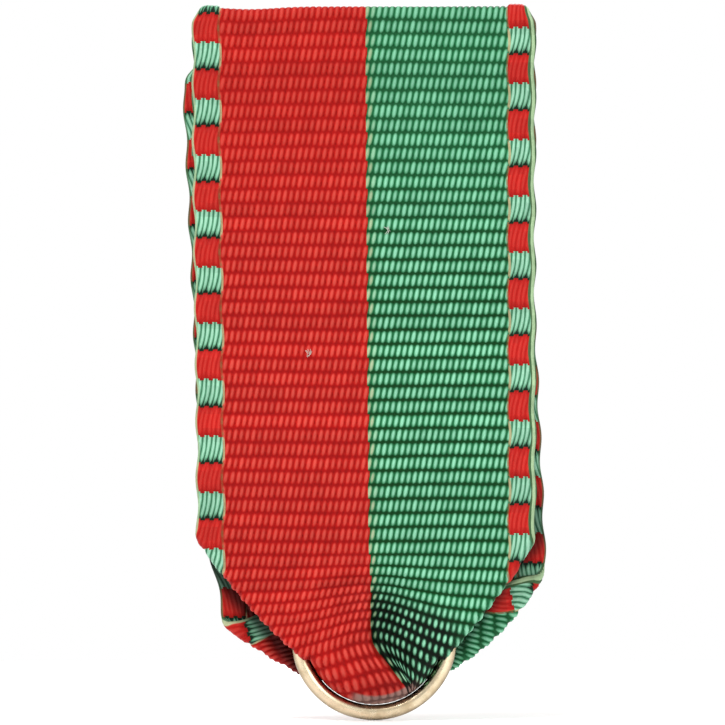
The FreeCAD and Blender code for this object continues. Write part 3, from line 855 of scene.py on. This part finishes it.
def thread_material(name, first, second, pitch=0.22):
    """Twisted thread, in two tones that wind round it."""
    shader = Shader(name)
    x, y, z = shader.place()
    winding = ((x + y + z * 0.6) / pitch).frac()
    lay = ((winding - 0.5).abs() * 2.0).between(0.1, 0.9)
    speck = shader.noise(shader.combine(x * 9.0, y * 9.0, z * 9.0), detail=3.0)
    colour = shader.tint(shader.blend(lay, first, second), 0.78 + speck * 0.44)
    shader.set(colour=colour, roughness=0.6, specular=0.3, sheen=0.2,
               normal=shader.bump(lay + speck * 0.4, 0.03, 0.8))
    return shader.material


def metal(name, bright, dull, roughness, grain, scratches=1.0, wire=None):
    """Worn plate: tarnish in clouds, rubbed patches, and fine scratches.

    A wire gets a painted dark reflection toward its inner and outer sides.
    """
    shader = Shader(name)
    x, y, z = shader.place()
    spot = shader.combine(x, y, z)
    tarnish = shader.noise(spot, scale=1.1, detail=5.0, roughness=0.6).between(0.42, 0.72)
    fine = shader.noise(shader.combine(x * grain[0], y * grain[1], z * grain[2]), detail=4.0)
    pits = shader.noise(spot, scale=9.0, detail=3.0).between(0.66, 0.78)
    colour = shader.blend(tarnish * 0.65, bright, dull)
    colour = shader.tint(colour, (0.88 + fine * 0.22) * (1.0 - pits * 0.25))
    if wire is not None:
        # painted dark reflection toward the wire's inner and outer sides
        rx, rz = x - wire[0], z - wire[1]
        side = ((rx * rx + rz * rz).power(0.5) - wire[2]) / (WIRE / 2)
        shade = side.abs().between(0.30, 1.0) * 0.62
        colour = shader.blend(shade, colour, srgb(84, 60, 36))
    rough = roughness + tarnish * 0.14 + pits * 0.10 + (fine - 0.5) * 0.10
    shader.set(colour=colour, metallic=1.0, roughness=rough,
               normal=shader.bump(fine * scratches - pits * 0.5, 0.012, 0.35))
    return shader.material


WOVEN_FACE = woven("woven_face", 0.0, 0.0)
WOVEN_BACK = woven("woven_reverse", 1.0, 1.0)
SELVEDGE = thread_material("selvedge_thread", srgb(84, 122, 82), srgb(158, 178, 136))
THREAD = thread_material("sewing_thread", srgb(120, 24, 20), srgb(176, 44, 36), 0.16)
FRAY_RED = thread_material("frayed_red", srgb(132, 14, 10), srgb(196, 60, 50), 0.12)
FRAY_GREEN = thread_material("frayed_green", srgb(10, 70, 38), srgb(130, 196, 160), 0.12)
LINT = thread_material("lint", srgb(176, 184, 172), srgb(206, 208, 196), 0.10)
GILT = metal("gilt_wire", srgb(230, 213, 181), srgb(180, 156, 118), 0.24, (2.0, 2.0, 2.0), 0.6,
             (RING_X, RING_Z, RING_RADIUS))
BRASS = metal("brooch_brass", srgb(214, 178, 104), srgb(134, 104, 54), 0.30, (1.2, 6.0, 24.0))
STEEL = metal("pin_steel", srgb(206, 206, 204), srgb(140, 138, 134), 0.24, (1.0, 14.0, 14.0))

# ---------------------------------------------------------------- cloth pieces

SEAM_1, SEAM_2 = 9 * RIB, 30 * RIB
FRONT_END = 35.4         # past the throat, where the sheet ends by itself
BACK_LOW = -0.2          # the back leg starts a little past the gutter's middle
cloth("ribbon_hem_and_top", place_front, -HEM_LENGTH, SEAM_1, -1, joined=(False, True))
cloth("ribbon_front_middle", place_front, SEAM_1, SEAM_2, -1, joined=(True, True))
cloth("ribbon_front_low", place_front, SEAM_2, FRONT_END, -1, joined=(True, False))
BACK_SEAM = 23 * RIB - BACK_PHASE
BACK_TOP = CUT_END - (RING_Z - GUTTER - LEG_OFF * math.pi / 2)
cloth("ribbon_back_low", place_back, BACK_LOW, BACK_SEAM, 1, BACK_PHASE, (False, True))
cloth("ribbon_back_high", place_back, BACK_SEAM, BACK_TOP, 1, BACK_PHASE, (True, False))


# ---------------------------------------------------------------- ring and sewing

HOLE_INSET = 1.0         # the bar's sewing places, from its ends
HOLE_SPREAD = 0.55       # and above and below its middle
THREAD_PASSES = 4
THREAD_PITCH = 0.095
THREAD_RADIUS = 0.055
STITCH_PITCH = 0.86
FRAY_PITCH = 0.17
LINT_PLACES = ((RING_X + 0.6, -6.04), (RING_X - 3.1, -11.78))


def tubes(name, paths, radius, material, sides=12):
    """Round threads or wires along lines of points; radius is one number or one for each point."""
    verts, faces = [], []
    for path in paths:
        path = np.asarray(path, float)
        around = np.broadcast_to(radius, len(path))
        ahead = np.gradient(path, axis=0)
        ahead /= np.linalg.norm(ahead, axis=1, keepdims=True)
        normal = np.cross(ahead[0], (0.3, 0.9, 0.2))
        base, count = len(verts), len(path)
        for point, way, r in zip(path, ahead, around):
            normal = normal - way * (normal @ way)
            normal /= np.linalg.norm(normal)
            other = np.cross(way, normal)
            angle = np.linspace(0, 2 * math.pi, sides, endpoint=False)[:, None]
            verts.extend((point + r * (np.cos(angle) * normal + np.sin(angle) * other)) * MM)
        faces += [(base + i * sides + j, base + i * sides + (j + 1) % sides,
                   base + (i + 1) * sides + (j + 1) % sides, base + (i + 1) * sides + j)
                  for i in range(count - 1) for j in range(sides)]
        faces.append(tuple(base + j for j in reversed(range(sides))))
        faces.append(tuple(base + (count - 1) * sides + j for j in range(sides)))
    mesh = bpy.data.meshes.new(name)
    mesh.from_pydata([tuple(v) for v in verts], [], faces)
    mesh.polygons.foreach_set("use_smooth", [len(p.vertices) == 4 for p in mesh.polygons])
    mesh.materials.append(material)
    return made(name, mesh)


def curve(points, count):
    """A smooth line through a few points."""
    points = np.asarray(points, float)
    ends = np.concatenate([[2 * points[0] - points[1]], points, [2 * points[-1] - points[-2]]])
    line = []
    for t in np.linspace(0, len(points) - 1, count):
        i = min(int(t), len(points) - 2)
        a, b, c, d = ends[i:i + 4]
        f = t - i
        line.append(0.5 * (2 * b + (c - a) * f + (2 * a - 5 * b + 4 * c - d) * f ** 2
                           + (3 * b - a - 3 * c + d) * f ** 3))
    return np.array(line)


def gilt_ring():
    """Drawn wire bent to a ring: not quite round, with its two cut ends butted at the top."""
    half_gap = math.radians(0.4)
    angle = np.linspace(half_gap, 2 * math.pi - half_gap, 361)
    wobble = 0.004 * np.sin(2 * angle + 0.6) + 0.002 * np.sin(5 * angle + 1.3)
    radius = RING_RADIUS + wobble
    path = np.stack([RING_X + radius * np.sin(angle),
                     np.full_like(angle, RING_Y),
                     RING_Z + radius * np.cos(angle)], -1)
    near_end = np.minimum(angle, 2 * math.pi - angle) * RING_RADIUS - half_gap * RING_RADIUS
    thick = WIRE / 2 - 0.05 * np.clip(1 - near_end / 0.08, 0, 1) ** 2
    piece = tubes("suspension_ring_wire", [path], thick, GILT, sides=40)
    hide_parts("suspension_ring")
    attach(piece, "ring")


def sewn(name, paths, radius, material, sides=8):
    """Thread on the ribbon, which goes where the ribbon goes."""
    piece = tubes(name, paths, radius, material, sides)
    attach(piece, "drape")


def sew_bar(chance):
    """Four passes of thread at either end of the bar, through holes above and below it."""
    bar_low, bar_high = (np.array(corner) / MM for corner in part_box("brooch_bar"))
    hole_x, hole_z = (bar_high[0] - bar_low[0]) / 2 - HOLE_INSET, HOLE_SPREAD
    front, back = bar_low[1] - 0.16, bar_high[1]
    passes = []
    for side in (-1, 1):
        for n in range(THREAD_PASSES):
            x = side * hole_x + (n - (THREAD_PASSES - 1) / 2) * THREAD_PITCH
            across = chance.uniform(-0.05, 0.05)
            lift = back + 0.085 + 0.05 * (n % 2)
            end = hole_z + chance.uniform(-0.04, 0.06)
            passes.append(curve([(x, front, -hole_z), (x, back - 0.10, -hole_z),
                                 (x, lift, -end + 0.22), (x + across, lift + 0.03, 0.0),
                                 (x, lift, end - 0.22), (x, back - 0.10, hole_z),
                                 (x, front, hole_z)], 40))
    sewn("bar_sewing_thread", passes, THREAD_RADIUS, THREAD)


def whip_cut_end(chance, rear):
    """Slanting stitches over the back leg's cut end."""
    whip = []
    for x in np.arange(-6.9, 7.0, STITCH_PITCH):
        x += chance.uniform(-0.08, 0.08)
        low = CUT_END - 0.44 + chance.uniform(-0.05, 0.05)
        whip.append(curve([(x, rear - 0.20, low - 0.04), (x + 0.02, rear + 0.08, low + 0.02),
                           (x + 0.14, rear + 0.11, low + 0.28), (x + 0.26, rear + 0.02, low + 0.52),
                           (x + 0.33, rear - 0.22, low + 0.66), (x + 0.36, rear - 0.44, low + 0.70)],
                          24))
    sewn("cut_end_stitches", whip, 0.05, THREAD)


def fray_cut_end(chance, rear):
    """Short loose warp ends along the cut, each in the colour of its side."""
    thinning = (0.05, 0.05, 0.05, 0.045, 0.04, 0.03, 0.015)
    for colour, material, low, high in (("red", FRAY_RED, -6.6, 0.0), ("green", FRAY_GREEN, 0.2, 6.9)):
        ends = []
        for x in np.arange(low, high, FRAY_PITCH):
            x += chance.uniform(-0.06, 0.06)
            long, lean = chance.uniform(0.10, 0.34), chance.uniform(-0.16, 0.16)
            y = rear - 0.15 + chance.uniform(-0.06, 0.06)
            ends.append(curve([(x, y, CUT_END - 0.12), (x + lean * 0.3, y, CUT_END + long * 0.4),
                               (x + lean, y + chance.uniform(-0.03, 0.05), CUT_END + long)],
                              len(thinning)))
        sewn("frayed_ends_" + colour, ends, thinning, material, 6)


def lint(chance):
    """Two specks of pale fluff on the front."""
    hairs = []
    for x, z in LINT_PLACES:
        y = RING_Y - front_off(np.full(1, x), np.full(1, z))[0] - PLY / 2 - 0.05
        for _ in range(5):
            turn, size = chance.uniform(0, math.pi), chance.uniform(0.10, 0.22)
            dx, dz = size * math.cos(turn), size * math.sin(turn)
            mx, mz = x + chance.uniform(-0.10, 0.10), z + chance.uniform(-0.06, 0.06)
            hairs.append(curve([(mx - dx, y + 0.05, mz - dz), (mx + 0.3 * dz, y, mz - 0.3 * dx),
                                (mx + dx, y + 0.05, mz + dz)], 12))
    sewn("lint", hairs, 0.011, LINT, 5)


gilt_ring()
cut_end_rear = RING_Y + back_off(np.zeros(1), np.full(1, CUT_END))[0] + PLY / 2
luck = np.random.default_rng(7)
sew_bar(luck)
whip_cut_end(luck, cut_end_rear)
fray_cut_end(luck, cut_end_rear)
lint(luck)

for node, material in (("brooch_bar", BRASS), ("hinge_bracket", BRASS), ("hinge_rivet", BRASS),
                       ("catch_housing", BRASS), ("catch_collar", BRASS), ("pin_needle", STEEL)):
    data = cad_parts[node].data
    data.materials.clear()
    data.materials.append(material)

# ---------------------------------------------------------------- floor, lights and world

FLOOR_Z = ring_low[2] - 0.03
FLOOR_RADIUS = 90.0
FLOOR_SIDES = 24
LAMP_AIM = (0.0, 0.0, -0.012)
WORLD_LIGHT = 0.65       # how bright the white world is for all but the camera


def pale_floor():
    """What the ring stands over: nearly white paper."""
    shader = Shader("pale_floor")
    x, y, _ = shader.place()
    speck = shader.noise(shader.combine(x * 0.4, y * 0.4), detail=4.0)
    shader.set(roughness=0.9, specular=0.2,
               colour=shader.tint(shader.blend(speck, srgb(246, 246, 246), srgb(252, 252, 252)),
                                  0.99 + speck * 0.01))
    corners = [(FLOOR_RADIUS * math.cos(2 * math.pi * i / FLOOR_SIDES) * MM,
                FLOOR_RADIUS * math.sin(2 * math.pi * i / FLOOR_SIDES) * MM, FLOOR_Z * MM)
               for i in range(FLOOR_SIDES)]
    mesh = bpy.data.meshes.new("floor")
    mesh.from_pydata(corners, [], [tuple(range(FLOOR_SIDES))])
    mesh.materials.append(shader.material)
    made("floor", mesh)


def lamp(name, place, size, power):
    """A round soft lamp, turned to the ribbon's middle."""
    data = bpy.data.lights.new(name, "AREA")
    data.shape, data.size, data.energy = "DISK", size, power
    light = made(name, data)
    light.location = place
    aim = np.array(place) - np.array(LAMP_AIM)
    flat = math.hypot(aim[0], aim[1])
    light.rotation_euler = (math.atan2(flat, aim[2]), 0, math.atan2(aim[0], -aim[1]))


pale_floor()
lamp("key", (-0.14, -0.22, 0.34), 0.26, 1.62)
lamp("fill", (0.20, -0.36, 0.04), 0.30, 0.47)
lamp("back", (0.10, 0.34, 0.22), 0.30, 1.3)

world = bpy.data.worlds.new("studio")
bpy.context.scene.world = world
world.use_nodes = True
nodes, links = world.node_tree.nodes, world.node_tree.links
light_path = nodes.new("ShaderNodeLightPath")
strength = nodes.new("ShaderNodeMapRange")
strength.inputs["To Min"].default_value = WORLD_LIGHT
strength.inputs["To Max"].default_value = 1.0
links.new(light_path.outputs["Is Camera Ray"], strength.inputs["Value"])
background = nodes["Background"]
background.inputs["Color"].default_value = (1, 1, 1, 1)
links.new(strength.outputs["Result"], background.inputs["Strength"])

bpy.context.scene.view_settings.view_transform = "Standard"
